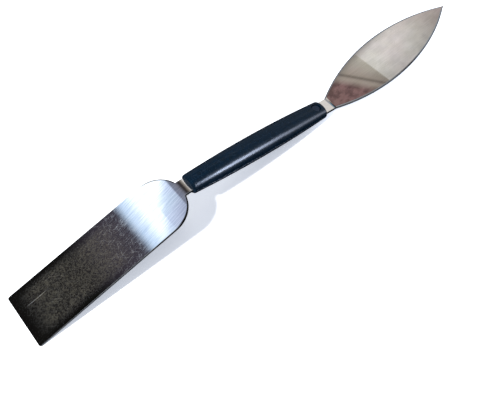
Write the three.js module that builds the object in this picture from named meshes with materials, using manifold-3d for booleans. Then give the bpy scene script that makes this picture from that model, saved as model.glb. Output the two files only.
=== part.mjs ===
// Double-ended palette knife: a square steel blade and a leaf-shaped steel blade,
// each with a tang held by a headed pin between the two halves of a moulded grip.
// Millimetres, +Z up. The knife lies as it rests on a table: the tip of the square blade
// and the leaf end of the grip touch z = 0, and the blades run along X.
import * as THREE from 'three';
import { mergeVertices } from 'three/addons/utils/BufferGeometryUtils.js';
import Module from 'manifold-3d';

const wasm = await Module();
wasm.setup();

// ---- driving dimensions ----------------------------------------------------

// Grip: an oval barrel, widest in the middle.
const GRIP_LENGTH = 99.4;
const GRIP_WIDTH = { middle: 14.6, end: 11.9 };
const GRIP_HEIGHT = { middle: 11.8, end: 8.5 };
const GRIP_EDGE_RADIUS = 1.3;
const GRIP_SQUARENESS = 2.1; // exponent of the oval section: 2 is an ellipse
const SEAM_GAP = 0.1;

// Steel strip shared by both blades.
const STEEL_THICKNESS = 1.8;
const NECK_WIDTH = 9.1;
const BEND_ANGLE = THREE.MathUtils.degToRad(20.8);
const BEND_RADIUS = 1.5;
const TANG_LENGTH = 28;
const TANG_TIP_WIDTH = 5.4;
const TANG_TAPER_LENGTH = 9;
const STRIP_CHAMFER = 0.25;

// Square blade.
const SQUARE = {
  neck: 4.1,
  length: 99.5,
  width: 32,
  shoulderRadius: 15.7,
  cornerRadius: 1.1,
  tipThickness: 0.8,
  chamfer: 0.3,
};

// Leaf blade: two arcs a side, meeting at the widest place.
const LEAF = {
  neck: 7.1,
  length: 99.4,
  width: 31.4,
  widestAt: 45.9,
  noseRadius: 0.6,
  noseHalfWidth: 0.15,
  tipThickness: 0.6,
  bevel: 0.9,
  edgeShare: 0.45, // thickness left at the ground edge, as a share of the steel's
};

// Headed pins: the leaf end's goes in from above, the square end's from below.
const PIN = {
  inset: 5.3, // from the end of the grip to the pin's axis
  shankRadius: 1.5,
  headRadius: 2.5,
  headHeight: 1.5,
  seatHeight: 2.2, // underside of the head above the grip's middle plane
  reach: 3, // how far the shank passes the middle plane
  recessRadius: 2.75,
  pointChamfer: 0.5,
  headChamfer: 0.25,
};

// Inside of the grip.
const POCKET_CLEARANCE = 0.15;
const POCKET_OVERRUN = 1; // how far the pocket's cutter passes the end of the grip
const PEG = { radius: 1.5, offset: 14.2, height: 2.4, root: 1.4 };
const CORE = { length: 20, width: 8, depth: 3.4 };

// Smoothness of round shapes.
const GRIP_RINGS = 14;
const GRIP_RING_POINTS = 48;
const FILLET_STEPS = 4;
const ARC_STEPS = 10;
const BEND_STEPS = 4;
const ROUND_SEGMENTS = 32;

const TILT_TOLERANCE = 1e-6; // radians, for the way the knife rests

// ---- building solids -------------------------------------------------------

// A closed body through convex rings of points, with a flat cap on each end.
function loft(rings) {
  const count = rings[0].length;
  const positions = rings.flat().flatMap((point) => [point.x, point.y, point.z]);
  const faces = [];
  for (let ring = 0; ring + 1 < rings.length; ring += 1) {
    for (let i = 0; i < count; i += 1) {
      const a = ring * count + i;
      const b = ring * count + ((i + 1) % count);
      faces.push(a, b, b + count, a, b + count, a + count);
    }
  }
  const last = (rings.length - 1) * count;
  for (let i = 1; i + 1 < count; i += 1) {
    faces.push(0, i + 1, i, last, last + i, last + i + 1);
  }
  const geometry = new THREE.BufferGeometry();
  geometry.setAttribute('position', new THREE.Float32BufferAttribute(positions, 3));
  geometry.setIndex(faces);
  return geometry;
}

function toSolid(source) {
  const bare = source.clone();
  bare.deleteAttribute('normal');
  bare.deleteAttribute('uv');
  const geometry = mergeVertices(bare);
  const mesh = new wasm.Mesh({
    numProp: 3,
    vertProperties: new Float32Array(geometry.attributes.position.array),
    triVerts: new Uint32Array(geometry.index.array),
  });
  return new wasm.Manifold(mesh);
}

function toGeometry(solid) {
  const { vertProperties, triVerts } = solid.getMesh();
  const geometry = new THREE.BufferGeometry();
  geometry.setAttribute('position', new THREE.BufferAttribute(vertProperties, 3));
  geometry.setIndex(new THREE.BufferAttribute(triVerts, 1));
  return geometry;
}

// An upright round bar from one height to another.
function bar(radius, bottom, top) {
  const geometry = new THREE.CylinderGeometry(radius, radius, top - bottom, ROUND_SEGMENTS);
  geometry.rotateX(Math.PI / 2);
  geometry.translate(0, 0, (bottom + top) / 2);
  return geometry;
}

function block(length, width, bottom, top) {
  const geometry = new THREE.BoxGeometry(length, width, top - bottom);
  geometry.translate(0, 0, (bottom + top) / 2);
  return geometry;
}

// Turn something made for the leaf end round to the square end, upside down.
function turnedAbout(geometry) {
  return geometry.clone().rotateY(Math.PI);
}

// ---- steel blades ----------------------------------------------------------

// Where a strip runs: distance along it from the end of the grip, outwards along +X,
// bending upwards past the neck. Gives a point on its middle and the strip's tilt.
function alongStrip(distance, neck) {
  const start = GRIP_LENGTH / 2;
  const arcLength = BEND_RADIUS * BEND_ANGLE;
  const tilt = BEND_ANGLE * THREE.MathUtils.clamp((distance - neck) / arcLength, 0, 1);
  const beyond = Math.max(distance - neck - arcLength, 0);
  return {
    x: start + Math.min(distance, neck) + BEND_RADIUS * Math.sin(tilt) + beyond * Math.cos(tilt),
    z: BEND_RADIUS * (1 - Math.cos(tilt)) + beyond * Math.sin(tilt),
    tilt,
  };
}

// One eight-sided cross-section of the strip: flat faces, with a bevel down to each edge.
function stripRing(station, neck) {
  const { distance, halfWidth, thickness, bevel, edge } = station;
  const { x, z, tilt } = alongStrip(distance, neck);
  const inner = Math.max(halfWidth - bevel, halfWidth / 2);
  const outline = [
    [-inner, -thickness / 2], [inner, -thickness / 2],
    [halfWidth, -edge / 2], [halfWidth, edge / 2],
    [inner, thickness / 2], [-inner, thickness / 2],
    [-halfWidth, edge / 2], [-halfWidth, -edge / 2],
  ];
  return outline.map(([across, up]) => new THREE.Vector3(
    x - up * Math.sin(tilt), across, z + up * Math.cos(tilt),
  ));
}

const plainStrip = {
  thickness: STEEL_THICKNESS,
  bevel: STRIP_CHAMFER,
  edge: STEEL_THICKNESS - 2 * STRIP_CHAMFER,
};

// Tang inside the grip and neck outside it, up to the end of the bend.
function tangAndNeck(neck) {
  const stations = [
    { distance: -TANG_LENGTH, halfWidth: TANG_TIP_WIDTH / 2 },
    { distance: -TANG_LENGTH + TANG_TAPER_LENGTH, halfWidth: NECK_WIDTH / 2 },
  ];
  for (let step = 0; step <= BEND_STEPS; step += 1) {
    const distance = neck + (BEND_RADIUS * BEND_ANGLE * step) / BEND_STEPS;
    stations.push({ distance, halfWidth: NECK_WIDTH / 2 });
  }
  return stations.map((station) => ({ ...plainStrip, ...station }));
}

// Ground from full thickness near the neck to the tip's thickness.
function taper(distance, from, to, tipThickness) {
  return THREE.MathUtils.mapLinear(Math.max(distance, from), from, to, STEEL_THICKNESS, tipThickness);
}

// Half-widths of the square blade: a round shoulder, straight sides, softened corners.
function squareOutline() {
  const { length, width, shoulderRadius, cornerRadius } = SQUARE;
  const rise = width / 2 - shoulderRadius;
  const startAngle = Math.asin((NECK_WIDTH / 2 - rise) / shoulderRadius);
  const shoulderLength = shoulderRadius * Math.cos(startAngle);
  const outline = [];
  for (let step = 1; step <= ARC_STEPS; step += 1) {
    const angle = THREE.MathUtils.lerp(startAngle, Math.PI / 2, step / ARC_STEPS);
    outline.push([
      shoulderLength - shoulderRadius * Math.cos(angle),
      rise + shoulderRadius * Math.sin(angle),
    ]);
  }
  for (let step = 0; step <= FILLET_STEPS; step += 1) {
    const angle = (Math.PI / 2) * (step / FILLET_STEPS);
    outline.push([
      length - cornerRadius * (1 - Math.sin(angle)),
      width / 2 - cornerRadius * (1 - Math.cos(angle)),
    ]);
  }
  return { outline, shoulderLength };
}

// Half-widths of the leaf blade, with a small round nose.
function leafOutline() {
  const { length, width, widestAt, noseRadius, noseHalfWidth } = LEAF;
  const arcRadius = (run, drop) => (run * run + drop * drop) / (2 * drop);
  const arcDrop = (radius, run) => radius - Math.sqrt(radius * radius - run * run);
  const rearRadius = arcRadius(widestAt, (width - NECK_WIDTH) / 2);
  const frontRun = length - widestAt;
  const frontRadius = arcRadius(frontRun, width / 2);
  const outline = [];
  for (let step = 1; step <= ARC_STEPS; step += 1) {
    const run = widestAt * (1 - step / ARC_STEPS);
    outline.push([widestAt - run, width / 2 - arcDrop(rearRadius, run)]);
  }
  const slope = Math.asin(frontRun / frontRadius);
  const noseStart = frontRun - noseRadius / Math.tan(slope);
  for (let step = 1; step <= ARC_STEPS; step += 1) {
    const run = noseStart * (step / ARC_STEPS);
    outline.push([widestAt + run, width / 2 - arcDrop(frontRadius, run)]);
  }
  outline.push([length, noseHalfWidth]);
  return outline;
}

function squareBlade() {
  const { neck, length, tipThickness, chamfer } = SQUARE;
  const { outline, shoulderLength } = squareOutline();
  const bendEnd = neck + BEND_RADIUS * BEND_ANGLE;
  const stations = outline.map(([distance, halfWidth]) => {
    const thickness = taper(distance, shoulderLength, length, tipThickness);
    const edge = thickness - chamfer;
    return { distance: bendEnd + distance, halfWidth, thickness, bevel: chamfer, edge };
  });
  return loft([...tangAndNeck(neck), ...stations].map((station) => stripRing(station, neck)));
}

function leafBlade() {
  const { neck, length, tipThickness, bevel, edgeShare } = LEAF;
  const bendEnd = neck + BEND_RADIUS * BEND_ANGLE;
  const stations = leafOutline().map(([distance, halfWidth]) => {
    const thickness = taper(distance, 0, length, tipThickness);
    const edge = thickness * edgeShare;
    return { distance: bendEnd + distance, halfWidth, thickness, bevel, edge };
  });
  return loft([...tangAndNeck(neck), ...stations].map((station) => stripRing(station, neck)));
}

// ---- grip ------------------------------------------------------------------

function gripRing(x, inset) {
  const bulge = 1 - (2 * x / GRIP_LENGTH) ** 2;
  const a = THREE.MathUtils.lerp(GRIP_WIDTH.end, GRIP_WIDTH.middle, bulge) / 2 - inset;
  const b = THREE.MathUtils.lerp(GRIP_HEIGHT.end, GRIP_HEIGHT.middle, bulge) / 2 - inset;
  const soften = (value) => Math.sign(value) * Math.abs(value) ** (2 / GRIP_SQUARENESS);
  return Array.from({ length: GRIP_RING_POINTS }, (_, i) => {
    const angle = (2 * Math.PI * i) / GRIP_RING_POINTS;
    return new THREE.Vector3(x, a * soften(Math.cos(angle)), b * soften(Math.sin(angle)));
  });
}

function gripBarrel() {
  const end = GRIP_LENGTH / 2;
  const rings = [];
  for (let i = 0; i <= GRIP_RINGS; i += 1) {
    const reach = end - GRIP_EDGE_RADIUS;
    rings.push(gripRing(THREE.MathUtils.lerp(-reach, reach, i / GRIP_RINGS), 0));
  }
  for (let step = 1; step <= FILLET_STEPS; step += 1) {
    const angle = (Math.PI / 2) * (step / FILLET_STEPS);
    const inset = GRIP_EDGE_RADIUS * (1 - Math.cos(angle));
    const x = end - GRIP_EDGE_RADIUS * (1 - Math.sin(angle));
    rings.push(gripRing(x, inset));
    rings.unshift(gripRing(-x, inset));
  }
  return loft(rings);
}

// Room for one blade's tang, open at the end of the grip.
function tangPocket() {
  const halfWidth = NECK_WIDTH / 2 + POCKET_CLEARANCE;
  const thickness = STEEL_THICKNESS + 2 * POCKET_CLEARANCE;
  const stations = [
    { distance: -TANG_LENGTH - POCKET_CLEARANCE, halfWidth: TANG_TIP_WIDTH / 2 + POCKET_CLEARANCE },
    { distance: -TANG_LENGTH + TANG_TAPER_LENGTH - POCKET_CLEARANCE, halfWidth },
    { distance: POCKET_OVERRUN, halfWidth },
  ];
  const square = { thickness, bevel: 0, edge: thickness };
  return loft(stations.map((station) => stripRing({ ...square, ...station }, LEAF.neck)));
}

const pinAxisX = GRIP_LENGTH / 2 - PIN.inset;

// Stepped hole for the leaf end's pin: recess, seat, and bore past the tang.
function pinHole() {
  const boreRadius = PIN.shankRadius + POCKET_CLEARANCE;
  const bore = toSolid(bar(boreRadius, -PIN.reach - POCKET_CLEARANCE, GRIP_HEIGHT.middle));
  const recess = toSolid(bar(PIN.recessRadius, PIN.seatHeight - POCKET_CLEARANCE, GRIP_HEIGHT.middle));
  return toGeometry(bore.add(recess)).translate(pinAxisX, 0, 0);
}

function headedPin() {
  const { shankRadius, headRadius, seatHeight, reach, pointChamfer, headChamfer } = PIN;
  const top = seatHeight + PIN.headHeight;
  const profile = [
    [0, -reach], [shankRadius - pointChamfer, -reach],
    [shankRadius, pointChamfer - reach], [shankRadius, seatHeight],
    [headRadius, seatHeight], [headRadius, top - headChamfer],
    [headRadius - headChamfer, top], [0, top],
  ].map(([radius, height]) => new THREE.Vector2(radius, height));
  const geometry = new THREE.LatheGeometry(profile, ROUND_SEGMENTS);
  return geometry.rotateX(Math.PI / 2).translate(pinAxisX, 0, 0);
}

// Both halves, hollowed for the tangs, the pins and a core that keeps the wall even.
function gripHalves() {
  const room = 2 * GRIP_LENGTH;
  const upperRoom = toSolid(block(room, GRIP_LENGTH, SEAM_GAP / 2, GRIP_LENGTH));
  const lowerRoom = toSolid(block(room, GRIP_LENGTH, -GRIP_LENGTH, -SEAM_GAP / 2));
  const barrel = [tangPocket(), pinHole()]
    .flatMap((hole) => [hole, turnedAbout(hole)])
    .reduce((solid, hole) => solid.subtract(toSolid(hole)), toSolid(gripBarrel()))
    .subtract(toSolid(block(CORE.length, CORE.width, -CORE.depth, CORE.depth)));
  let upper = barrel.intersect(upperRoom);
  let lower = barrel.intersect(lowerRoom);
  for (const x of [-PEG.offset, PEG.offset]) {
    const socket = bar(PEG.radius + POCKET_CLEARANCE, -PEG.root, PEG.height + 2 * POCKET_CLEARANCE);
    upper = upper.subtract(toSolid(socket.translate(x, 0, 0)));
    lower = lower.add(toSolid(bar(PEG.radius, -PEG.root, PEG.height).translate(x, 0, 0)));
  }
  return { upper: toGeometry(upper), lower: toGeometry(lower) };
}

// ---- materials and assembly ------------------------------------------------

const steel = { color: 0xa9abad, metalness: 1, roughness: 0.32 };
const navyPlastic = { color: 0x14243a, metalness: 0, roughness: 0.35 };
const darkSteel = { color: 0x2a2d33, metalness: 1, roughness: 0.5 };

function part(name, geometry, look) {
  const mesh = new THREE.Mesh(geometry, new THREE.MeshStandardMaterial(look));
  mesh.name = name;
  geometry.computeVertexNormals();
  return mesh;
}

// A tang with the hole that its pin passes through.
function drilled(blade) {
  const hole = bar(PIN.shankRadius + POCKET_CLEARANCE, -STEEL_THICKNESS, STEEL_THICKNESS);
  return toGeometry(toSolid(blade).subtract(toSolid(hole.translate(pinAxisX, 0, 0))));
}

// The tilt at which the square blade's tip and the grip's leaf end are at one height.
function restingTilt(square, grip) {
  const lowest = (geometry, tilt) => {
    const turned = geometry.clone().rotateY(tilt);
    turned.computeBoundingBox();
    return turned.boundingBox.min.z;
  };
  let low = 0;
  let high = BEND_ANGLE;
  while (high - low > TILT_TOLERANCE) {
    const middle = (low + high) / 2;
    if (lowest(square, middle) < lowest(grip, middle)) low = middle;
    else high = middle;
  }
  return (low + high) / 2;
}

function paletteKnife() {
  const square = turnedAbout(drilled(squareBlade()));
  const halves = gripHalves();
  const knife = new THREE.Group();
  knife.add(
    part('square_blade', square, steel),
    part('leaf_blade', drilled(leafBlade()), steel),
    part('grip_upper_half', halves.upper, navyPlastic),
    part('grip_lower_half', halves.lower, navyPlastic),
    part('square_end_pin', turnedAbout(headedPin()), darkSteel),
    part('leaf_end_pin', headedPin(), darkSteel),
  );
  knife.rotation.y = restingTilt(square, halves.lower);
  const bounds = new THREE.Box3().setFromObject(knife, true);
  const middle = bounds.getCenter(new THREE.Vector3());
  knife.position.set(-middle.x, 0, -bounds.min.z);
  return knife;
}

export default paletteKnife();
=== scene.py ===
"""Double-ended palette knife: the looks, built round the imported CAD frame.

Each visible piece is modelled here in fine mesh code, in the grip's own axes: x along the
grip towards the leaf blade, y across it, z up out of its upper half, and the origin at the
grip's middle. A matrix found from the CAD frame then lays it down on the table.
"""
import math

import bmesh
import bpy
import numpy as np
from mathutils import Euler, Matrix, Vector


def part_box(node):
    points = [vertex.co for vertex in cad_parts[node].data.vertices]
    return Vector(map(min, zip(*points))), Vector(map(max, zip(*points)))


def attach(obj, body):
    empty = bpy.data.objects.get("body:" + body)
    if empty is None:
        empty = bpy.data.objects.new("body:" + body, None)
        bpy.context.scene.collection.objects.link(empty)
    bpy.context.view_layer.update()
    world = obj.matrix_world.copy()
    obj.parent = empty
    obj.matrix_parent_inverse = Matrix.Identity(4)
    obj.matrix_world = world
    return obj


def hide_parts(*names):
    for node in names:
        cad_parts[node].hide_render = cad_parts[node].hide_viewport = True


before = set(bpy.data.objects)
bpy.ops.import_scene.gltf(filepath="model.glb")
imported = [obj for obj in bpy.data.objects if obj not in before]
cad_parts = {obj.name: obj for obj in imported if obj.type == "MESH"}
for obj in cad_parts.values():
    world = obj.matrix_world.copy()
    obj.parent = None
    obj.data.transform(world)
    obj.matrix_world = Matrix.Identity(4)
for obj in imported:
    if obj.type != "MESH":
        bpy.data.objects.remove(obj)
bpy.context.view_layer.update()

MM = 0.001

# ---- sizes, as in the CAD design ---------------------------------------------

GRIP_LENGTH = 99.4 * MM
GRIP_WIDTH = {"middle": 14.6 * MM, "end": 11.9 * MM}
GRIP_HEIGHT = {"middle": 11.8 * MM, "end": 8.5 * MM}
GRIP_EDGE_RADIUS = 1.3 * MM
GRIP_SQUARENESS = 2.1  # exponent of the oval section
SEAM_GAP = 0.1 * MM
SEAM_RADIUS = 0.22 * MM

STEEL_THICKNESS = 1.8 * MM
NECK_WIDTH = 9.1 * MM
BEND_ANGLE = math.radians(20.8)
TANG_LENGTH = 28 * MM
TANG_TIP_WIDTH = 5.4 * MM
TANG_TAPER_LENGTH = 9 * MM
ARRIS = 0.16 * MM  # rounding of the steel's long edges

SQUARE = {
    "bend_at": 4.37 * MM,  # from the end of the grip to the middle of the bend
    "bend_radius": 20 * MM,
    "root": 4.64 * MM,  # from the end of the grip to the start of the outline
    "length": 99.5 * MM,
    "width": 32 * MM,
    "shoulder_radius": 15.7 * MM,
    "corner_radius": 1.1 * MM,
    "tip_thickness": 0.8 * MM,
}
LEAF = {
    "bend_at": 7.37 * MM,
    "bend_radius": 1.5 * MM,
    "root": 7.64 * MM,
    "length": 99.4 * MM,
    "width": 31.4 * MM,
    "widest_at": 45.9 * MM,
    "nose_radius": 0.6 * MM,
    "tip_thickness": 0.6 * MM,
    "bevel": 0.9 * MM,  # width of the ground bevel
    "edge_share": 0.45,  # how much of the thickness is left at the edge
}
PIN = {
    "inset": 5.3 * MM,
    "shank_radius": 1.5 * MM,
    "head_radius": 2.5 * MM,
    "head_height": 1.5 * MM,
    "seat_height": 2.2 * MM,
    "reach": 3 * MM,
    "recess_radius": 2.75 * MM,
    "rounding": 0.25 * MM,
    "blunting": 0.5 * MM,
}
RECESS_RIM = {"drop": 0.2 * MM, "width": 0.45 * MM, "rise": 0.6 * MM}  # the softened rim
CLEARANCE = 0.15 * MM
POCKET_FLARE = 0.25 * MM
PEG = {"radius": 1.5 * MM, "offset": 14.2 * MM, "height": 2.4 * MM, "root": 1.4 * MM}
CORE = {"length": 20 * MM, "width": 8 * MM, "depth": 3.4 * MM}

GRIP_END = GRIP_LENGTH / 2
PIN_X = GRIP_END - PIN["inset"]

# Smoothness of round shapes.
GRIP_RINGS = 72
GRIP_ARC_STEPS = 56
FILLET_STEPS = 8
SMALL_ROUND_STEPS = 4  # for the steel's arris and the seam's edge
PIN_ROUND_STEPS = 6
OUTLINE_STEPS = 40
BEND_STEPS = 12
ROUND_SEGMENTS = 64

MERGE_DISTANCE = 0.0005 * MM
SHARP_ANGLE = math.radians(40)
BOX_TOLERANCE = 0.4 * MM


# ---- where the grip lies -----------------------------------------------------

def node_points(name):
    return np.array([vertex.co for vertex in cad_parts[name].data.vertices], float)


def grip_placement():
    """The matrix from the grip's own axes to the row frame.

    A pin is round, so the direction its points spread along most is its own axis, and it
    stands square to the grip's middle plane. The two halves together give the middle.
    """
    spread = np.cov(node_points("leaf_end_pin").T)
    up = Vector(np.linalg.eigh(spread)[1][:, -1])
    if up.z < 0:
        up.negate()
    along = Vector((0, 1, 0)).cross(up).normalized()
    corners = [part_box("grip_upper_half"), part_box("grip_lower_half")]
    low = Vector(map(min, corners[0][0], corners[1][0]))
    high = Vector(map(max, corners[0][1], corners[1][1]))
    axes = Matrix((along, Vector((0, 1, 0)), up)).transposed()
    return Matrix.Translation((low + high) / 2) @ axes.to_4x4()


PLACEMENT = grip_placement()
TURN_ABOUT = Matrix.Rotation(math.pi, 4, "Y")  # leaf end to square end, upside down


# ---- mesh tools --------------------------------------------------------------

def lerp(a, b, share):
    return a + (b - a) * share


def lofted(rings):
    """A body through rings of points, with a flat cap on each end.

    It is closed if all the rings have the same number of points.
    """
    mesh = bmesh.new()
    rows = [[mesh.verts.new(point) for point in ring] for ring in rings]
    for row, following in zip(rows, rows[1:]):
        for i in range(len(row)):
            j = (i + 1) % len(row)
            mesh.faces.new((row[i], row[j], following[j], following[i]))
    mesh.faces.new(rows[0][::-1])
    mesh.faces.new(rows[-1])
    bmesh.ops.recalc_face_normals(mesh, faces=mesh.faces)
    return mesh


def turned(profile):
    """A body turned about the z axis from (radius, height) pairs that start and end on it."""
    rings = []
    for radius, height in profile[1:-1]:
        angles = [2 * math.pi * i / ROUND_SEGMENTS for i in range(ROUND_SEGMENTS)]
        rings.append([(radius * math.cos(a), radius * math.sin(a), height) for a in angles])
    return lofted(rings)


def block(length, width, bottom, top):
    x, y = length / 2, width / 2
    return lofted([[(-x, -y, z), (x, -y, z), (x, y, z), (-x, y, z)] for z in (bottom, top)])


def make_object(name, mesh, *moves):
    """An object from a bmesh in the grip's axes, moved in turn.

    Known fault: the normals are out of date after a move, so a mesh that ends upside down,
    turned about or mirrored, comes out inside out. The square end's pin is one of them.
    """
    for move in moves:
        mesh.transform(move)
    data = bpy.data.meshes.new(name)
    bmesh.ops.recalc_face_normals(mesh, faces=mesh.faces)
    mesh.to_mesh(data)
    mesh.free()
    made = bpy.data.objects.new(name, data)
    bpy.context.scene.collection.objects.link(made)
    return made


def apply_modifiers(target):
    depsgraph = bpy.context.evaluated_depsgraph_get()
    finished = bpy.data.meshes.new_from_object(target.evaluated_get(depsgraph), depsgraph=depsgraph)
    target.modifiers.clear()
    target.data = finished


def carve(target, tools, operation="DIFFERENCE"):
    """Cuts each tool from the target, or joins it on, and throws the tools away.

    A tool that is inside out cuts nothing.
    """
    for tool in tools:
        modifier = target.modifiers.new("carve", "BOOLEAN")
        modifier.operation = operation
        modifier.solver = "EXACT"
        modifier.object = tool
    bpy.context.view_layer.update()
    apply_modifiers(target)
    for tool in tools:
        bpy.data.objects.remove(tool)


def polish_shading(target):
    """Smooth shading with crisp creases, and flat faces that stay flat next to rounded edges."""
    mesh = bmesh.new()
    mesh.from_mesh(target.data)
    bmesh.ops.remove_doubles(mesh, verts=mesh.verts, dist=MERGE_DISTANCE)
    bmesh.ops.dissolve_degenerate(mesh, dist=MERGE_DISTANCE, edges=mesh.edges)
    for face in mesh.faces:
        face.smooth = True
    for edge in mesh.edges:
        edge.smooth = not edge.is_manifold or edge.calc_face_angle(0) < SHARP_ANGLE
    mesh.to_mesh(target.data)
    mesh.free()
    modifier = target.modifiers.new("face normals", "WEIGHTED_NORMAL")
    modifier.mode = "FACE_AREA_WITH_ANGLE"
    modifier.keep_sharp = True


# ---- steel blades ------------------------------------------------------------

def along_strip(distance, blade):
    """A point on the strip's middle and its tilt, at a distance from the end of the grip."""
    arc = blade["bend_radius"] * BEND_ANGLE
    start = blade["bend_at"] - arc / 2
    tilt = BEND_ANGLE * min(max((distance - start) / arc, 0), 1)
    beyond = max(distance - start - arc, 0)
    radius = blade["bend_radius"]
    x = GRIP_END + min(distance, start) + radius * math.sin(tilt) + beyond * math.cos(tilt)
    z = radius * (1 - math.cos(tilt)) + beyond * math.sin(tilt)
    return x, z, tilt


def rounded_arris(half_thickness):
    """(inset, height) pairs from the flat face round to the steel's edge."""
    steps = [math.pi / 2 * i / SMALL_ROUND_STEPS for i in range(SMALL_ROUND_STEPS + 1)]
    return [(ARRIS * (1 - math.sin(a)), half_thickness - ARRIS * (1 - math.cos(a))) for a in steps]


def ground_bevel(half_thickness):
    """(inset, height) pairs down the leaf's ground bevel, with a softened crest and edge."""
    edge = half_thickness * LEAF["edge_share"]
    bevel = LEAF["bevel"]
    drop = half_thickness - edge
    soft = 0.12  # share of the bevel rounded off at its crest
    return [
        (bevel * (1 + soft), half_thickness),
        (bevel, half_thickness - drop * soft / 4),
        (bevel * (1 - soft), half_thickness - drop * soft),
        (ARRIS / 2, edge + drop * ARRIS / 2 / bevel),
        (ARRIS / 8, edge - ARRIS / 8),
        (0, edge - ARRIS / 2),
    ]


def strip_ring(distance, half_width, profile, blade, shrink=0.0):
    """One cross-section of the strip. The profile gives the upper right quarter of it."""
    x, z, tilt = along_strip(distance, blade)
    least_flat = 0.35  # of the half width, kept flat where the blade is narrow
    quarter = []
    for inset, height in profile:
        across = max(half_width - shrink - inset, (half_width - shrink) * least_flat)
        quarter.append((across, height - shrink))
    right = quarter + [(across, -height) for across, height in reversed(quarter)]
    outline = right + [(-across, height) for across, height in reversed(right)]
    sin, cos = math.sin(tilt), math.cos(tilt)
    return [(x - up * sin, across, z + up * cos) for across, up in outline]


def tang_stations(blade):
    """(distance, half width) from the tang's tip, past the pin, to the blade's root."""
    taper_end = TANG_TAPER_LENGTH - TANG_LENGTH
    stations = [(-TANG_LENGTH, TANG_TIP_WIDTH / 2), (taper_end, NECK_WIDTH / 2), (0, NECK_WIDTH / 2)]
    arc = blade["bend_radius"] * BEND_ANGLE
    bend_start = blade["bend_at"] - arc / 2
    bend_end = min(bend_start + arc, blade["root"])
    for i in range(BEND_STEPS + 1):
        stations.append((lerp(bend_start, bend_end, i / BEND_STEPS), NECK_WIDTH / 2))
    return stations


def square_outline():
    """(distance from the root, half width) pairs, and how far the round shoulder reaches."""
    radius, width = SQUARE["shoulder_radius"], SQUARE["width"]
    rise = width / 2 - radius
    start = math.asin((NECK_WIDTH / 2 - rise) / radius)
    shoulder = radius * math.cos(start)
    outline = []
    for i in range(1, OUTLINE_STEPS + 1):
        angle = lerp(start, math.pi / 2, i / OUTLINE_STEPS)
        outline.append((shoulder - radius * math.cos(angle), rise + radius * math.sin(angle)))
    corner, length = SQUARE["corner_radius"], SQUARE["length"]
    for i in range(FILLET_STEPS):
        angle = math.pi / 2 * i / FILLET_STEPS
        distance = length - corner * (1 - math.sin(angle))
        outline.append((distance, width / 2 - corner * (1 - math.cos(angle))))
    return outline, shoulder


def arc_drop(radius, run):
    """How far a circle falls away from its top, at a run to one side."""
    return radius - math.sqrt(radius * radius - run * run)


def arc_radius(run, drop):
    """The radius of the circle that falls away by a drop over a run."""
    return (run * run + drop * drop) / (2 * drop)


def leaf_outline():
    """(distance from the root, half width): two arcs a side and a small round nose."""
    length, half, widest = LEAF["length"], LEAF["width"] / 2, LEAF["widest_at"]
    rear = arc_radius(widest, half - NECK_WIDTH / 2)
    front_run = length - widest
    front = arc_radius(front_run, half)
    outline = []
    for i in range(1, OUTLINE_STEPS + 1):
        run = widest * (1 - i / OUTLINE_STEPS)
        outline.append((widest - run, half - arc_drop(rear, run)))
    nose = LEAF["nose_radius"]
    slope = math.asin(front_run / front)
    nose_start = front_run - nose / math.tan(slope)
    for i in range(1, OUTLINE_STEPS + 1):
        run = nose_start * i / OUTLINE_STEPS
        outline.append((widest + run, half - arc_drop(front, run)))
    blunt = outline[-1]
    nose_turn = math.radians(83)  # short of a right angle, so that the nose ends in a small flat
    for i in range(1, FILLET_STEPS + 1):
        share = math.sin(nose_turn * i / FILLET_STEPS)
        outline.append((lerp(blunt[0], length, share), blunt[1] * math.sqrt(1 - share * share)))
    return outline


def strip_rings(blade, outline, taper_from, profile):
    """The whole strip's cross-sections: tang, neck and blade, ground thinner towards its tip."""
    root, length = blade["root"], blade["length"]
    rings = []
    for distance, half_width in tang_stations(blade):
        rings.append(strip_ring(distance, half_width, rounded_arris(STEEL_THICKNESS / 2), blade))
    for distance, half_width in outline:
        share = max(distance - taper_from, 0) / (length - taper_from)
        half_thickness = lerp(STEEL_THICKNESS, blade["tip_thickness"], share) / 2
        rings.append(strip_ring(root + distance, half_width, profile(half_thickness), blade))
    return rings


def pin_hole_tool(name, radius):
    hole = turned([(0, 0), (radius, -STEEL_THICKNESS), (radius, STEEL_THICKNESS), (0, 0)])
    return make_object(name, hole, Matrix.Translation((PIN_X, 0, 0)))


def square_blade():
    outline, shoulder = square_outline()
    rings = strip_rings(SQUARE, outline, shoulder, rounded_arris)
    tip = SQUARE["tip_thickness"] / 2
    end = SQUARE["root"] + SQUARE["length"]
    end_half_width = SQUARE["width"] / 2 - SQUARE["corner_radius"]
    for i in range(1, SMALL_ROUND_STEPS):
        angle = math.pi / 2 * i / SMALL_ROUND_STEPS
        shrink = ARRIS * (1 - math.cos(angle))
        distance = end - ARRIS * (1 - math.sin(angle))
        rings.append(strip_ring(distance, end_half_width, rounded_arris(tip), SQUARE, shrink))
    made = make_object("square_blade_steel", lofted(rings))
    carve(made, [pin_hole_tool("square_hole", PIN["shank_radius"] + CLEARANCE)])
    made.data.transform(PLACEMENT @ TURN_ABOUT)
    return made


def leaf_blade():
    """The leaf blade's whole strip.

    Known fault: a cross-section has 20 points along the neck and 24 along the bevelled blade,
    and lofted joins them one to one. That leaves a narrow opening in the mesh at the root.
    """
    rings = strip_rings(LEAF, leaf_outline(), 0, ground_bevel)
    made = make_object("leaf_blade_steel", lofted(rings))
    carve(made, [pin_hole_tool("leaf_hole", PIN["shank_radius"] + CLEARANCE)])
    made.data.transform(PLACEMENT)
    return made


# ---- grip --------------------------------------------------------------------

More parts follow.
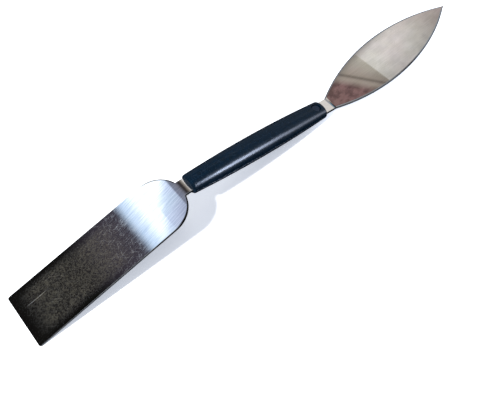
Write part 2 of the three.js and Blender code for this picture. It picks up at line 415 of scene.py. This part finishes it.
def half_section(x, inset):
    """The upper half of the grip's oval section, with its two seam edges rounded."""
    bulge = 1 - (2 * x / GRIP_LENGTH) ** 2
    a = lerp(GRIP_WIDTH["end"], GRIP_WIDTH["middle"], bulge) / 2 - inset
    b = lerp(GRIP_HEIGHT["end"], GRIP_HEIGHT["middle"], bulge) / 2 - inset
    power = 2 / GRIP_SQUARENESS
    floor = SEAM_GAP / 2
    start = math.asin(((floor + SEAM_RADIUS) / b) ** (1 / power))
    side = a * math.cos(start) ** power
    right = []
    for i in range(SMALL_ROUND_STEPS + 1):
        angle = math.pi / 2 * (i / SMALL_ROUND_STEPS - 1)
        y = side - SEAM_RADIUS * (1 - math.cos(angle))
        right.append((y, floor + SEAM_RADIUS * (1 + math.sin(angle))))
    arch = []
    for i in range(1, GRIP_ARC_STEPS):
        angle = lerp(start, math.pi - start, i / GRIP_ARC_STEPS)
        cos, sin = math.cos(angle), math.sin(angle)
        arch.append((math.copysign(abs(cos) ** power, cos) * a, sin ** power * b))
    left = [(-y, z) for y, z in reversed(right)]
    return [(x, y, z) for y, z in right + arch + left]


def half_barrel():
    stations = []
    reach = GRIP_END - GRIP_EDGE_RADIUS
    for i in range(GRIP_RINGS + 1):
        stations.append((lerp(-reach, reach, i / GRIP_RINGS), 0))
    for i in range(1, FILLET_STEPS + 1):
        angle = math.pi / 2 * i / FILLET_STEPS
        x = GRIP_END - GRIP_EDGE_RADIUS * (1 - math.sin(angle))
        inset = GRIP_EDGE_RADIUS * (1 - math.cos(angle))
        stations.append((x, inset))
        stations.insert(0, (-x, inset))
    return lofted([half_section(x, inset) for x, inset in stations])


def tang_pocket():
    """Room for the leaf blade's tang, flared a little where the steel comes out."""
    flare = POCKET_FLARE
    half, thick = NECK_WIDTH / 2 + CLEARANCE, STEEL_THICKNESS / 2 + CLEARANCE
    stations = [
        (-TANG_LENGTH - CLEARANCE, TANG_TIP_WIDTH / 2 + CLEARANCE, thick),
        (TANG_TAPER_LENGTH - TANG_LENGTH - CLEARANCE, half, thick),
        (-flare, half, thick),
        (flare, half + 2 * flare, thick + 2 * flare),
    ]
    rings = []
    for distance, y, z in stations:
        x = GRIP_END + distance
        rings.append([(x, -y, -z), (x, y, -z), (x, y, z), (x, -y, z)])
    return lofted(rings)


def pin_hole():
    """Stepped hole from above: a recess with a softened rim, a seat, and the bore."""
    bore, recess = PIN["shank_radius"] + CLEARANCE, PIN["recess_radius"]
    seat = PIN["seat_height"] - CLEARANCE
    rim = GRIP_HEIGHT["end"] / 2 - RECESS_RIM["drop"]
    mouth = recess + RECESS_RIM["width"]
    high = GRIP_HEIGHT["middle"]
    profile = [
        (0, 0), (bore, -PIN["reach"] - CLEARANCE), (bore, seat), (recess, seat),
        (recess, rim), (mouth, rim + RECESS_RIM["rise"]), (mouth, high), (0, 0),
    ]
    mesh = turned(profile)
    mesh.transform(Matrix.Translation((PIN_X, 0, 0)))
    return mesh


def hollow_tools(mirror):
    """Cutters for one half: a pocket and a pin hole at each end, and the core.

    The lower half is made as an upper one and then mirrored, so its cutters are mirrored too.
    Known fault: the cutters that end upside down are inside out (see make_object) and cut
    nothing. So the upper half has no pocket or bore at its square end, and the lower half has
    none at its leaf end.
    """
    tools = []
    for i, shape in enumerate((tang_pocket, pin_hole)):
        tools.append(make_object(f"cut_{i}", shape(), mirror))
        tools.append(make_object(f"cut_turned_{i}", shape(), TURN_ABOUT, mirror))
    core = block(CORE["length"], CORE["width"], -CORE["depth"], CORE["depth"])
    tools.append(make_object("cut_core", core))
    return tools


def upright_bar(radius, bottom, top, x):
    bar = turned([(0, 0), (radius, bottom), (radius, top), (0, 0)])
    bar.transform(Matrix.Translation((x, 0, 0)))
    return bar


def grip_half(name, upper):
    made = make_object(name, half_barrel())
    mirror = Matrix.Identity(4) if upper else Matrix.Scale(-1, 4, Vector((0, 0, 1)))
    carve(made, hollow_tools(mirror))
    for x in (-PEG["offset"], PEG["offset"]):
        if upper:
            depth = PEG["height"] + 2 * CLEARANCE
            socket = upright_bar(PEG["radius"] + CLEARANCE, -PEG["root"], depth, x)
            carve(made, [make_object("socket", socket)])
        else:
            peg = upright_bar(PEG["radius"], -PEG["height"], PEG["root"], x)
            carve(made, [make_object("peg", peg)], "UNION")
    made.data.transform(mirror)
    if not upper:
        made.data.flip_normals()
    made.data.transform(PLACEMENT)
    return made


# ---- pins --------------------------------------------------------------------

def pin(name, *moves):
    """A headed pin with a rounded head and a blunted point."""
    shank, head, reach = PIN["shank_radius"], PIN["head_radius"], PIN["reach"]
    seat, rounding, blunt = PIN["seat_height"], PIN["rounding"], PIN["blunting"]
    top = seat + PIN["head_height"]
    profile = [
        (0, 0), (shank - blunt, -reach), (shank - blunt / 3, blunt / 2 - reach), (shank, blunt - reach),
        (shank, seat), (head - rounding / 2, seat), (head, seat + rounding / 2),
    ]
    for i in range(PIN_ROUND_STEPS + 1):
        angle = math.pi / 2 * i / PIN_ROUND_STEPS
        radius = head - rounding * (1 - math.cos(angle))
        profile.append((radius, top - rounding * (1 - math.sin(angle))))
    profile.append((0, 0))
    mesh = turned(profile)
    return make_object(name, mesh, Matrix.Translation((PIN_X, 0, 0)), *moves)


# ---- materials ---------------------------------------------------------------

# The grinding lines: their angle to the blade in degrees, how far they blur and bend what the
# steel mirrors, and the colours in and between them.
SQUARE_GRAIN = {
    "turn": 8, "roughness": (0.02, 0.06), "depth": 0.22,
    "dull": (194, 199, 206), "bright": (222, 223, 225),
}
LEAF_GRAIN = {
    "turn": 4, "roughness": (0.01, 0.02), "depth": 0.06,
    "dull": (202, 203, 205), "bright": (211, 212, 214),
}
GRAIN_STRETCH = 0.045  # the lower, the longer the grinding lines
FILM_COLOUR = (208, 205, 190)
# The colour of the painted dark edges: painted shade and a painted dark reflection.
PAINTED_DARK_EDGE_COLOUR = (52, 48, 47)
PLASTIC_TINT = (0.62, 0.78, 1.0, 1)


class Shader:
    """The node tree of a material, a world or a light, with short calls for the nodes used here."""

    def __init__(self, owner):
        self.owner = owner
        owner.use_nodes = True
        self.tree = owner.node_tree

    def node(self, kind, inputs=None, **settings):
        made = self.tree.nodes.new(kind)
        for key, value in settings.items():
            setattr(made, key, value)
        for key, value in (inputs or {}).items():
            self.set_socket(made.inputs[key], value)
        return made

    def math(self, operation, a, b=0.0, clamp=False):
        made = self.node("ShaderNodeMath", {0: a, 1: b}, operation=operation, use_clamp=clamp)
        return made.outputs[0]

    def product(self, *factors):
        result = factors[0]
        for factor in factors[1:]:
            result = self.math("MULTIPLY", result, factor)
        return result

    def local_millimetres(self, placement):
        """Object coordinates in a piece's own axes, in millimetres."""
        place = {
            "Vector": self.node("ShaderNodeTexCoord").outputs["Object"],
            "Location": placement.to_translation(),
            "Rotation": placement.to_euler(),
            "Scale": (MM, MM, MM),
        }
        return self.node("ShaderNodeMapping", place, vector_type="TEXTURE").outputs[0]

    def turned(self, vector, degrees):
        inputs = {"Vector": vector, "Angle": math.radians(degrees)}
        return self.node("ShaderNodeVectorRotate", inputs, rotation_type="Z_AXIS").outputs[0]

    def parts(self, vector):
        return self.node("ShaderNodeSeparateXYZ", {0: vector}).outputs

    def combined(self, x, y):
        return self.node("ShaderNodeCombineXYZ", {0: x, 1: y}).outputs[0]

    def multiplied(self, vector, factors):
        inputs = {0: vector, 1: factors}
        return self.node("ShaderNodeVectorMath", inputs, operation="MULTIPLY").outputs[0]

    def length(self, vector):
        return self.node("ShaderNodeVectorMath", {0: vector}, operation="LENGTH").outputs["Value"]

    def noise(self, vector, scale, detail=2.0, roughness=0.5):
        inputs = {"Vector": vector, "Scale": scale, "Detail": detail, "Roughness": roughness}
        return self.node("ShaderNodeTexNoise", inputs).outputs["Fac"]

    def between(self, value, low, high, out_low=0.0, out_high=1.0, smooth=True):
        """Runs from out_low to out_high as the value goes from low to high, and stays there."""
        inputs = {0: value, 1: low, 2: high, 3: out_low, 4: out_high}
        kind = "SMOOTHSTEP" if smooth else "LINEAR"
        return self.node("ShaderNodeMapRange", inputs, interpolation_type=kind).outputs[0]

    def band(self, value, rise, fall):
        """1 between the rise and the fall and 0 outside them, with soft ends."""
        return self.math("MULTIPLY", self.between(value, *rise), self.between(value, *fall))

    def set_socket(self, socket, value):
        if isinstance(value, bpy.types.NodeSocket):
            self.tree.links.new(value, socket)
        else:
            socket.default_value = value

    def mix(self, share, a, b):
        """The colour a where the share is 0 and b where it is 1."""
        made = self.node("ShaderNodeMix", {0: share}, data_type="RGBA")
        colours = [socket for socket in made.inputs if socket.type == "RGBA"]
        for socket, value in zip(colours, (a, b)):
            self.set_socket(socket, value)
        return next(socket for socket in made.outputs if socket.type == "RGBA")

    def bump(self, height, strength, distance, normal=None):
        inputs = {"Height": height, "Strength": strength, "Distance": distance}
        if normal is not None:
            inputs["Normal"] = normal
        return self.node("ShaderNodeBump", inputs).outputs[0]

    def finish(self, node_name, **inputs):
        """Feeds the closing node's inputs, and gives back the material, world or light."""
        for key, value in inputs.items():
            self.set_socket(self.tree.nodes[node_name].inputs[key.replace("_", " ")], value)
        return self.owner


def material_shader(name):
    return Shader(bpy.data.materials.new(name))


def principled(shader, **inputs):
    return shader.finish("Principled BSDF", **inputs)


def srgb(red, green, blue):
    """A colour given as 0 to 255, as linear RGBA."""
    def linear(value):
        share = value / 255
        return share / 12.92 if share <= 0.04045 else ((share + 0.055) / 1.055) ** 2.4

    return (linear(red), linear(green), linear(blue), 1)


def blade_axes(blade, turn):
    """The blade's own axes in the row frame: x from its root to its tip, z square to its flat."""
    out = 30 * MM  # well past the bend
    x, z, tilt = along_strip(blade["root"] + out, blade)
    lie = Matrix.Translation((x, 0, z)) @ Matrix.Rotation(-tilt, 4, "Y")
    return PLACEMENT @ turn @ lie @ Matrix.Translation((-out, 0, 0))


def hairlines(shader, place, directions, stretch, pitch, threshold):
    """Sparse thin marks in a few directions, as one 0 to 1 value.

    A small stretch draws them long, and a high threshold leaves only a few.
    """
    softness = 0.05
    total = None
    for degrees in directions:
        drawn_out = shader.multiplied(shader.turned(place, degrees), (stretch, 1, 1))
        marks = shader.noise(drawn_out, pitch, detail=0.0)
        line = shader.between(marks, threshold, threshold + softness)
        total = line if total is None else shader.math("MAXIMUM", total, line)
    return total


def square_film(shader, place, grit):
    """(film, middle): a gritty dried film, and the part of the blade that it covers."""
    x, y, _ = shader.parts(place)
    clouds = shader.noise(place, 0.12, detail=3.0)
    aside = shader.math("ABSOLUTE", y)
    middle = shader.product(shader.between(aside, 15, 9.5), shader.band(x, (30, 52), (98, 86)))
    film = shader.product(
        middle, shader.between(clouds, 0.25, 0.7, 0.8, 1.0), shader.between(grit, 0.43, 0.57, 0.3, 1.6),
    )
    return film, middle


def square_marks(shader, place, grit, middle):
    """Flecks by the window's reflection, specks and hairlines in the film, and one scratch."""
    x, y, _ = shader.parts(place)
    flecks = hairlines(shader, place, (-38, 15, 70), 0.09, 2.4, 0.7)
    flecks = shader.product(flecks, shader.band(x, (27, 34), (60, 36)), 0.25)
    specks = shader.product(shader.between(grit, 0.66, 0.76), middle, 0.15)
    lines = hairlines(shader, place, (-38, 8, 64), 0.03, 2.4, 0.73)
    lines = shader.product(lines, shader.between(x, 27, 38), middle, 0.09)
    scratch_y = shader.math("ADD", shader.math("MULTIPLY", shader.noise(place, 0.2), 0.25), 5.0)
    off_line = shader.math("ABSOLUTE", shader.math("SUBTRACT", y, scratch_y))
    scratch_ends = shader.band(x, (80, 86), (95, 91))
    scratch = shader.product(shader.between(off_line, 0.22, 0.05), scratch_ends, 0.5)
    marks = shader.math("MAXIMUM", flecks, specks)
    return shader.math("MAXIMUM", marks, shader.math("MAXIMUM", lines, scratch))


def painted_shoulder_shade(shader, place):
    """Painted shade: a thin dark rim round the square blade's shoulders, outside the neck."""
    x, y, _ = shader.parts(place)
    aside = shader.math("ABSOLUTE", y)
    shoulder = square_outline()[1] / MM
    radius = SQUARE["shoulder_radius"] / MM
    centre_y = SQUARE["width"] / MM / 2 - radius
    behind = shader.math("MINIMUM", shader.math("SUBTRACT", x, shoulder), 0.0)
    reach = shader.length(shader.combined(behind, shader.math("SUBTRACT", aside, centre_y)))
    rim = shader.between(reach, radius - 0.65, radius - 0.4)
    neck_half = NECK_WIDTH / MM / 2
    outside_neck = shader.between(aside, neck_half, neck_half + 0.6)
    return shader.product(rim, shader.between(x, 17, 10), outside_neck)


def square_wear_and_painted_edge(shader, place):
    """(film, marks, painted dark edge): how strong each is, from none at 0; the last is painted shade.

    The place is in millimetres: x from the blade's root and y from its middle line.
    """
    grit = shader.noise(place, 1.1, detail=3.0, roughness=0.8)
    film, middle = square_film(shader, place, grit)
    # The third is painted shade round the shoulders.
    return film, square_marks(shader, place, grit, middle), painted_shoulder_shade(shader, place)


def leaf_wear_and_painted_edge(shader, place):
    """(film, marks, painted dark edge): a thin film, fine hairlines on the front half, and a painted
    dark reflection along the ground bevel.
    """
    x, _, z = shader.parts(place)
    clouds = shader.noise(place, 0.15, detail=4.0, roughness=0.6)
    film = shader.between(clouds, 0.3, 0.7, 0.0, 0.3)
    lines = hairlines(shader, place, (-52, 3, 20), 0.05, 3.0, 0.69)
    marks = shader.product(lines, shader.between(x, 28, 45), shader.between(clouds, 0.4, 0.6), 0.3)
    length = LEAF["length"] / MM
    at_root, at_tip = STEEL_THICKNESS / MM, LEAF["tip_thickness"] / MM
    thickness = shader.between(x, 0, length, at_root, at_tip, smooth=False)
    # The height, as a share of half the thickness: 1 on the flat and less down the ground bevel.
    height = shader.math("DIVIDE", shader.product(shader.math("ABSOLUTE", z), 2.0), thickness)
    # Painted dark reflection: the ground bevel is darkened as if it mirrored a dark room.
    painted_dark_edge = shader.product(shader.between(height, 0.92, 0.75), shader.between(x, -0.5, 0.5), 0.72)
    return film, marks, painted_dark_edge


def steel(name, axes, wear_and_painted_edge, grain):
    """Brushed spring steel with marks of use, and painted dark edges: painted shade on the square
    blade's shoulders and a painted dark reflection on the leaf's ground bevel.
    """
    shader = material_shader(name)
    place = shader.local_millimetres(axes)
    grain_place = shader.multiplied(shader.turned(place, grain["turn"]), (GRAIN_STRETCH, 1, 1))
    coarse = shader.noise(grain_place, 0.9, detail=1.0)
    fine = shader.noise(grain_place, 2.2, detail=4.0, roughness=0.65)
    lines = shader.math("ADD", shader.product(coarse, 0.25), shader.product(fine, 0.75))
    streaks = shader.between(lines, 0.38, 0.62)
    film, marks, painted_dark_edge = wear_and_painted_edge(shader, place)
    roughness = shader.between(streaks, 0, 1, *grain["roughness"], smooth=False)
    roughness = shader.math("ADD", roughness, shader.product(marks, 0.2), clamp=True)
    colour = shader.mix(streaks, srgb(*grain["dull"]), srgb(*grain["bright"]))
    colour = shader.mix(shader.product(film, 0.7), colour, srgb(*FILM_COLOUR))
    # Painted shade and painted dark reflection on the edges, mixed into the colour.
    colour = shader.mix(painted_dark_edge, colour, srgb(*PAINTED_DARK_EDGE_COLOUR))
    # A film or a mark scatters a little light of its own, which less metal lets it do.
    dulling = shader.math("ADD", shader.product(film, 0.034), shader.product(marks, 0.35))
    metallic = shader.math("SUBTRACT", 1.0, dulling, clamp=True)
    normal = shader.bump(lines, grain["depth"], 0.003 * MM)
    return principled(shader, Base_Color=colour, Metallic=metallic, Roughness=roughness, Normal=normal)


def navy_plastic():
    """Semi-gloss moulded plastic: a fine pebbled grain, faint clouding and light handling marks."""
    shader = material_shader("navy_moulded_plastic")
    place = shader.local_millimetres(PLACEMENT)
    clouds = shader.noise(place, 0.35, detail=4.0, roughness=0.6)
    pebbles = shader.noise(place, 0.9, detail=3.0, roughness=0.65)
    flow = shader.noise(shader.multiplied(place, (0.12, 1, 1)), 0.9)
    scuffs = shader.product(hairlines(shader, place, (20, -55, 80), 0.05, 2.6, 0.72), 0.5)
    colour = shader.mix(shader.between(clouds, 0.3, 0.7), srgb(0, 15, 28), srgb(1, 21, 38))
    colour = shader.mix(shader.product(scuffs, 0.2), colour, srgb(60, 76, 96))
    roughness = shader.between(flow, 0.3, 0.7, 0.22, 0.29)
    roughness = shader.math("ADD", roughness, shader.product(scuffs, 0.12))
    normal = shader.bump(pebbles, 0.8, 0.03 * MM)
    normal = shader.bump(clouds, 0.3, 0.05 * MM, normal)
    return principled(
        shader, Base_Color=colour, Roughness=roughness, Normal=normal,
        Specular_Tint=PLASTIC_TINT, Specular_IOR_Level=0.27,
    )


def pin_steel():
    """Blackened pin: a mottled blue-black coat, rubbed a little brighter in places."""
    shader = material_shader("blackened_pin_steel")
    place = shader.local_millimetres(PLACEMENT)
    clouds = shader.noise(place, 1.5, detail=4.0, roughness=0.6)
    colour = shader.mix(shader.between(clouds, 0.35, 0.7), srgb(5, 16, 32), srgb(14, 30, 52))
    roughness = shader.between(clouds, 0.3, 0.7, 0.32, 0.45)
    normal = shader.bump(shader.noise(place, 9.0), 0.3, 0.01 * MM)
    return principled(
        shader, Base_Color=colour, Roughness=roughness, Normal=normal, Specular_Tint=PLASTIC_TINT,
    )


# ---- pieces ------------------------------------------------------------------

def fit(piece, node, material):
    """Gives a piece its finish and puts it in the CAD node's place, after checking its size."""
    polish_shading(piece)
    piece.data.materials.clear()
    piece.data.materials.append(material)
    bpy.context.view_layer.update()
    corners = [piece.matrix_world @ Vector(corner) for corner in piece.bound_box]
    low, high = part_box(node)
    for axis in range(3):
        values = [corner[axis] for corner in corners]
        if max(abs(min(values) - low[axis]), abs(max(values) - high[axis])) > BOX_TOLERANCE:
            raise RuntimeError(f"{piece.name} doesn't fill the box of {node}")
    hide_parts(node)
    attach(piece, "root")


def build_knife():
    square_axes = blade_axes(SQUARE, TURN_ABOUT)
    leaf_axes = blade_axes(LEAF, Matrix.Identity(4))
    square_steel = steel("square_blade_steel", square_axes, square_wear_and_painted_edge, SQUARE_GRAIN)
    leaf_steel = steel("leaf_blade_steel", leaf_axes, leaf_wear_and_painted_edge, LEAF_GRAIN)
    plastic = navy_plastic()
    dark = pin_steel()
    fit(square_blade(), "square_blade", square_steel)
    fit(leaf_blade(), "leaf_blade", leaf_steel)
    fit(grip_half("grip_upper_shell", True), "grip_upper_half", plastic)
    fit(grip_half("grip_lower_shell", False), "grip_lower_half", plastic)
    fit(pin("leaf_end_steel_pin", PLACEMENT), "leaf_end_pin", dark)
    fit(pin("square_end_steel_pin", TURN_ABOUT, PLACEMENT), "square_end_pin", dark)


# ---- studio ------------------------------------------------------------------

# The camera looks down over the square blade. Its line of sight meets the table at the aim,
# the heading runs from +Y towards +X, and the pitch is down from level.
CAMERA_AIM = Vector((-30.0 * MM, -21.2 * MM, 0))
CAMERA_DISTANCE = 293.8 * MM
CAMERA_HEADING = math.radians(40.52)
CAMERA_PITCH = math.radians(59.83)
CAMERA_LENS = 39.76  # focal length on a sensor 36 mm wide

# A plain made-up room for the polished steel to reflect. Colours are 0 to 255 as the steel
# shows them; the window is brighter than white.
ROOM_COLOURS = {
    "window": (260, 270, 275),
    "haze": (200, 215, 235),
    "cool_wall": (170, 180, 200),
    "shade": (120, 125, 140),
    "dim": (110, 110, 120),
    "brown_wall": (115, 90, 88),
    "rail": (100, 92, 85),
    "tan_wall": (150, 140, 130),
    "ledge": (180, 175, 165),
    "cream_wall": (205, 200, 195),
    "corner": (165, 155, 150),
    "beam": (50, 46, 46),
    "lit_wall": (230, 225, 215),
}

# Where the areas lie over the flats, from -X round to +X, as a slope from straight up.
ROOM = [
    (-0.155, "window"), (-0.125, "haze"), (-0.08, "cool_wall"), (-0.03, "shade"), (0.12, "dim"),
    (0.2, "brown_wall"), (0.255, "brown_wall"), (0.27, "tan_wall"), (0.275, "tan_wall"), (0.28, "rail"),
    (0.285, "tan_wall"), (0.335, "ledge"), (0.345, "cream_wall"), (0.42, "cream_wall"), (0.5, "corner"),
]
ROOM_SPAN = (-0.2, 0.5)

# The same further towards +Y, where the bends and the necks mirror it.
FAR_ROOM = [
    (0.0, "shade"), (0.2, "dim"), (0.34, "beam"), (0.42, "beam"), (0.5, "rail"), (0.6, "tan_wall"),
    (0.7, "cream_wall"), (0.77, "lit_wall"), (0.82, "lit_wall"), (0.92, "shade"), (1.18, "shade"),
    (1.28, "cream_wall"),
]
FAR_ROOM_SPAN = (0.0, 1.3)
STEEL_SHINE = 0.6  # share of the light that the steel mirrors

# The rest of what the steel mirrors, as light.
WINDOW_GLARE = (0.92, 1.14, 1.42, 1)
DARK_CEILING = (0.009, 0.0085, 0.0075, 1)
LIT_CEILING = (0.075, 0.064, 0.082, 1)  # the strip of ceiling beside the window
WALL_FOOT = (0.24, 0.25, 0.27, 1)
WALL_TOP = (0.5, 0.53, 0.57, 1)
SKY = (0.17, 0.33, 0.47, 1)
BEAM = (0.16, 0.15, 0.15, 1)
DARK_FLOOR = (0.012, 0.012, 0.012, 1)
PALE_FLOOR = (0.4, 0.41, 0.43, 1)


def make_floor():
    mesh = bmesh.new()
    bmesh.ops.create_grid(mesh, x_segments=1, y_segments=1, size=3.0)
    floor = make_object("table_top", mesh)
    shader = material_shader("pale_table")
    place = shader.local_millimetres(Matrix.Identity(4))
    paper = shader.noise(place, 0.02, detail=4.0)
    x, _, _ = shader.parts(place)
    # The table glows: painted light that lifts its shadows, stronger past the leaf blade and away from
    # the knife, where it washes them out.
    base_glow = 0.38
    past_leaf = shader.between(x, 20, 75, base_glow, 0.9)
    far_away = shader.between(shader.length(place), 150, 500, base_glow, 0.8)
    floor.data.materials.append(principled(
        shader,
        Base_Color=shader.mix(paper, srgb(240, 241, 242), srgb(246, 246, 246)), Roughness=0.9,
        Specular_IOR_Level=0.1, Emission_Color=(0.9, 0.97, 1.12, 1),
        Emission_Strength=shader.math("MAXIMUM", past_leaf, far_away),
    ))
    floor.visible_glossy = False


def area_light(name, place, size, power, colour):
    """A round soft light at a place in metres, turned to the middle of the knife."""
    data = bpy.data.lights.new(name, "AREA")
    data.shape = "DISK"
    data.size = size
    data.energy = power
    data.color = colour
    data.cycles.use_multiple_importance_sampling = False
    lamp = bpy.data.objects.new(name, data)
    lamp.location = place
    lamp.rotation_euler = Vector(place).to_track_quat("Z", "Y").to_euler()
    lamp.visible_glossy = False
    bpy.context.scene.collection.objects.link(lamp)


def streak_light():
    """A long soft lamp that draws the streak along the grip.

    Only the grip and its pins take its light, and it is dark at one end and fades at the other.
    """
    distance = 600 * MM
    towards = Vector((0.58, -0.61, 0.54)).normalized()
    along = Vector((0.84, 0.22, -0.5))
    across = towards.cross(along).normalized()
    data = bpy.data.lights.new("streak_light", "AREA")
    data.shape = "RECTANGLE"
    data.size = 700 * MM
    data.size_y = 210 * MM
    data.energy = 29.0
    data.color = (1.0, 0.92, 0.93)
    lamp = bpy.data.objects.new("streak_light", data)
    axes = Matrix((across.cross(towards), across, towards)).transposed()
    lamp.matrix_world = Matrix.Translation(towards * distance) @ axes.to_4x4()
    lamp.visible_camera = False
    lamp.visible_diffuse = False
    bpy.context.scene.collection.objects.link(lamp)
    shader = Shader(data)
    share = shader.parts(shader.node("ShaderNodeNewGeometry").outputs["Parametric"])[0]
    rise = shader.between(share, 0.24, 0.36)
    fade = shader.between(share, 0.38, 0.62, 1.0, 0.1)
    shader.finish("Emission", Strength=shader.product(rise, fade))
    lit = bpy.data.collections.new("lit_by_streak_light")
    for name in ("grip_upper_shell", "grip_lower_shell", "leaf_end_steel_pin", "square_end_steel_pin"):
        lit.objects.link(bpy.data.objects[name])
    lamp.light_linking.receiver_collection = lit


def colour_ramp(shader, place, span, stops):
    """The light at a place along the ceiling, brought back from the colours the steel shows."""
    ramp = shader.node("ShaderNodeValToRGB", {0: shader.between(place, *span, smooth=False)})
    elements = ramp.color_ramp.elements
    while len(elements) < len(stops):
        elements.new(0.5)
    for element, (position, area) in zip(elements, stops):
        element.position = (position - span[0]) / (span[1] - span[0])
        element.color = srgb(*ROOM_COLOURS[area])
    return shader.multiplied(ramp.outputs[0], (1 / STEEL_SHINE,) * 3)


def slanted(shader, u, v):
    """The slope u, shifted so that the window's edge and the rail lie askew across the blades."""
    by_window = shader.between(u, 0.03, 0.0, 0.0, 0.8)
    window_slant = shader.product(by_window, shader.math("SUBTRACT", 0.59, v))
    below_ledge = shader.band(u, (0.05, 0.1), (0.346, 0.344))
    rail_slant = shader.product(shader.math("SUBTRACT", v, 0.44), 0.5)
    rail_slant = shader.product(below_ledge, shader.math("SUBTRACT", rail_slant, 0.03))
    return shader.math("ADD", u, shader.math("ADD", window_slant, rail_slant))


def mottled(shader, light, place, u, v):
    """The light with a faint tinge, blotches on the brown wall and a darker pale corner."""
    overhead = shader.combined(u, v)
    blotches = shader.noise(overhead, 50.0, detail=3.0, roughness=0.6)
    tinge = shader.between(shader.noise(overhead, 16.0), 0.35, 0.65)
    tinge = shader.mix(tinge, (1.015, 0.985, 1.005, 1), (0.99, 1.005, 0.985, 1))
    light = shader.multiplied(light, tinge)
    brown = shader.product(shader.between(u, 0.1, 0.2), shader.between(place, 0.275, 0.25))
    shade = shader.product(brown, shader.between(blotches, 0.38, 0.62, 0.38, -0.2))
    pale = shader.between(u, 0.3, 0.36)
    mottle = shader.product(pale, shader.between(blotches, 0.35, 0.65, 0.07, -0.04))
    corner = shader.product(shader.between(u, 0.3, 0.35), shader.between(v, 0.445, 0.38, 0.0, 0.3))
    darker = shader.math("ADD", shader.math("ADD", shade, mottle), corner)
    kept = shader.math("SUBTRACT", 1.0, darker)
    return shader.node("ShaderNodeVectorMath", {0: light, 3: kept}, operation="SCALE").outputs[0]


def room_overhead(shader, u, v):
    """The part of the room that the flat steel mirrors.

    From -X to +X it is a dark ceiling, the window, and the brown and pale walls.
    """
    place = slanted(shader, u, v)
    light = mottled(shader, colour_ramp(shader, place, ROOM_SPAN, ROOM), place, u, v)
    far = shader.product(shader.between(v, 0.46, 0.5), shader.between(u, -0.05, 0.04))
    light = shader.mix(far, light, colour_ramp(shader, u, FAR_ROOM_SPAN, FAR_ROOM))
    light = shader.mix(shader.between(u, -0.245, -0.205), WINDOW_GLARE, light)
    ceiling = shader.mix(shader.between(u, -0.42, -0.27), DARK_CEILING, LIT_CEILING)
    return shader.mix(shader.between(u, -0.268, -0.243), ceiling, light)


def room_light(shader):
    """The light that a shiny surface sees in each direction.

    x, y and z make up the direction, and u and v are its slopes from straight up.
    """
    x, y, z = shader.parts(shader.node("ShaderNodeTexCoord").outputs["Generated"])
    height = shader.math("MAXIMUM", z, 0.02)
    u = shader.math("DIVIDE", x, height)
    v = shader.math("DIVIDE", y, height)
    walls = shader.mix(shader.between(z, 0.0, 0.7), WALL_FOOT, WALL_TOP)
    sky = shader.product(
        shader.band(x, (0.3, 0.4), (0.62, 0.5)), shader.between(y, 0.0, 0.15),
        shader.between(z, 0.45, 0.62),
    )
    walls = shader.mix(sky, walls, SKY)
    beam = shader.product(
        shader.band(x, (-0.06, 0.08), (0.5, 0.35)), shader.band(y, (-0.35, -0.22), (0.14, 0.04)),
        shader.between(z, 0.75, 0.85),
    )
    walls = shader.mix(beam, walls, BEAM)
    below = shader.mix(shader.between(x, -0.4, -0.8), DARK_FLOOR, PALE_FLOOR)
    around = shader.mix(shader.between(z, -0.35, 0.05), below, walls)
    seen_by_blades = shader.product(
        shader.band(v, (0.3, 0.36), (0.9, 0.75)), shader.band(u, (-0.75, -0.6), (0.62, 0.55)),
    )
    seen_by_necks = shader.product(
        shader.band(v, (0.44, 0.5), (0.86, 0.78)), shader.band(u, (0.5, 0.6), (1.8, 1.6)),
    )
    overhead = shader.math("MAXIMUM", seen_by_blades, seen_by_necks)
    return shader.mix(overhead, around, room_overhead(shader, u, v))


def make_world():
    """Even pale light all round, and a room for the steel and the plastic to reflect."""
    world = bpy.data.worlds.new("studio")
    bpy.context.scene.world = world
    world.cycles.sampling_method = "NONE"
    shader = Shader(world)
    rays = shader.node("ShaderNodeLightPath").outputs
    even_light, backdrop = (0.52, 0.54, 0.58, 1), (0.93, 0.94, 0.95, 1)
    seen = shader.mix(rays["Is Glossy Ray"], even_light, room_light(shader))
    seen = shader.mix(rays["Is Camera Ray"], seen, backdrop)
    shader.finish("Background", Color=seen)


def make_camera():
    data = bpy.data.cameras.new("camera")
    data.lens = CAMERA_LENS
    data.clip_start = 0.01
    camera = bpy.data.objects.new("camera", data)
    level = Vector((math.sin(CAMERA_HEADING), math.cos(CAMERA_HEADING), 0))
    forward = level * math.cos(CAMERA_PITCH) - Vector((0, 0, math.sin(CAMERA_PITCH)))
    camera.location = CAMERA_AIM - forward * CAMERA_DISTANCE
    camera.rotation_euler = Euler((math.pi / 2 - CAMERA_PITCH, 0, -CAMERA_HEADING))
    bpy.context.scene.collection.objects.link(camera)
    bpy.context.scene.camera = camera


build_knife()
make_floor()
make_world()
make_camera()
area_light("key_light", (-0.345, 0.0, 0.36), 0.04, 2.4, (1.0, 0.98, 0.94))
area_light("fill_light", (0.05, 0.4, 0.5), 0.3, 0.6, (1.0, 0.99, 0.97))
streak_light()
bpy.context.scene.view_settings.view_transform = "Standard"
